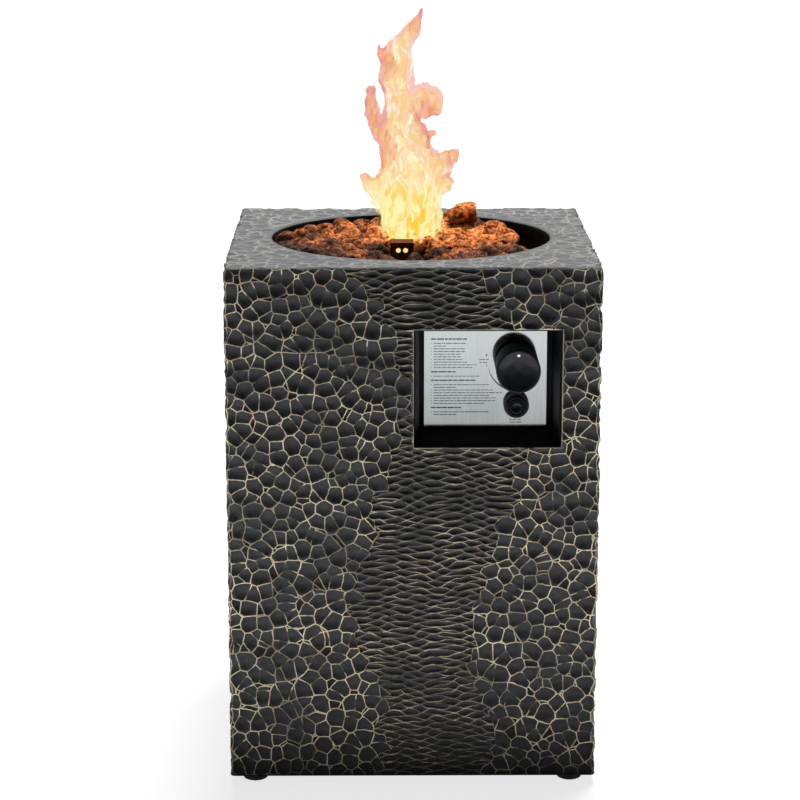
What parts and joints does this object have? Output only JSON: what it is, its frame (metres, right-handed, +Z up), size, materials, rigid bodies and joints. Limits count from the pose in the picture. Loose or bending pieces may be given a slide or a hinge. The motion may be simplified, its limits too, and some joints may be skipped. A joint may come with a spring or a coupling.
{
  "type": "column gas fire pit",
  "caption": "Square column gas fire pit in cast stone: round bowl of lava rock with a ring burner, recessed gas knob and igniter, rear door to a gas cylinder bay.",
  "frame": {"origin": "on the floor, in the middle of the four rubber feet", "axes": "+Z up; -Y to the front, which holds the knob; +X to the right as seen from the front"},
  "size_m": [0.406, 0.406, 0.6081],
  "materials": {
    "cast_stone": "cast scoops, charcoal, with pale gold brushed on the ridges",
    "black_rubber": "matte black",
    "zinc_steel": "zinc plated",
    "black_steel": "satin black powder coat",
    "matte_black_steel": "matte black",
    "silver_plate": "satin silver with grey dashes and ticks",
    "knob_plastic": "gloss black",
    "black_plastic": "satin black",
    "white_plastic": "white",
    "chromed_metal": "chromed",
    "valve_aluminium": "cast",
    "spring_steel": "wound wire",
    "brass": "machined",
    "tube_steel": "drawn tube",
    "stainless_steel": "heat tinted",
    "bowl_black": "heatproof matte black",
    "battery_label": "plain sleeve",
    "scorched_steel": "scorched brown",
    "white_ceramic": "unglazed",
    "copper_alloy": "copper",
    "red_wire": "silicone",
    "lava_rock": "rough red-brown"
  },
  "bodies": {
    "column": {"column_shell": "cast_stone", "foot_front_left": "black_rubber", "foot_front_right": "black_rubber", "foot_rear_left": "black_rubber", "foot_rear_right": "black_rubber", "foot_screws": "zinc_steel", "bracket_front_left": "black_steel", "bracket_front_right": "black_steel", "bracket_rear_left": "black_steel", "bracket_rear_right": "black_steel", "bracket_screws": "zinc_steel", "tank_tray": "black_steel", "tray_screws": "zinc_steel", "door_frame": "black_steel", "door_frame_screws": "zinc_steel", "magnetic_catch": "black_plastic", "hinge_frame_leaf_upper": "zinc_steel", "hinge_frame_leaf_lower": "zinc_steel", "hinge_pin_upper": "zinc_steel", "hinge_pin_lower": "zinc_steel", "control_box": "matte_black_steel", "control_box_screws": "zinc_steel", "label_plate": "silver_plate", "valve_body": "valve_aluminium", "stem_spring": "spring_steel", "valve_outlet": "brass", "valve_screws": "zinc_steel", "gas_inlet_nipple": "brass", "gas_tube": "tube_steel", "tube_nuts": "brass", "gas_orifice": "brass", "air_mixer": "tube_steel", "burner_elbow": "brass", "burner_locknut": "zinc_steel", "ring_burner": "stainless_steel", "burner_pan": "bowl_black", "pan_screws": "zinc_steel", "igniter_sleeve": "black_plastic", "igniter_spring": "spring_steel", "igniter_battery": "battery_label", "igniter_nut": "zinc_steel", "igniter_hood": "scorched_steel", "hood_screws": "zinc_steel", "spark_electrode": "white_ceramic", "thermocouple": "copper_alloy", "ignition_wire": "red_wire", "thermocouple_lead": "copper_alloy", "lava_rocks": "lava_rock"},
    "valve_rotor": {"valve_plug": "brass"},
    "knob": {"gas_knob": "knob_plastic", "knob_pointer": "white_plastic", "valve_stem": "zinc_steel"},
    "igniter_push": {"igniter_button": "black_plastic"},
    "door": {"door_panel": "black_steel", "door_pull": "chromed_metal", "door_strike": "zinc_steel", "hinge_door_leaf_upper": "zinc_steel", "hinge_door_leaf_lower": "zinc_steel"}
  },
  "joints": [
    {"name": "knob_turn", "type": "hinge", "parent": "column", "child": "valve_rotor", "pos_m": [0.1135, -0.125, 0.471], "axis": [0, -1, 0], "range_deg": [0, 225]},
    {"name": "knob_push", "type": "slide", "parent": "valve_rotor", "child": "knob", "axis": [0, 1, 0], "range_m": [0, 0.003], "stiffness_N_per_m": 800, "deforming": ["stem_spring"]},
    {"name": "igniter_press", "type": "slide", "parent": "column", "child": "igniter_push", "axis": [0, 1, 0], "range_m": [0, 0.004], "stiffness_N_per_m": 500, "deforming": ["igniter_spring"]},
    {"name": "door_swing", "type": "hinge", "parent": "column", "child": "door", "pos_m": [-0.1548, 0.199, 0.27], "axis": [0, 0, 1], "range_deg": [0, 110]}
  ]
}
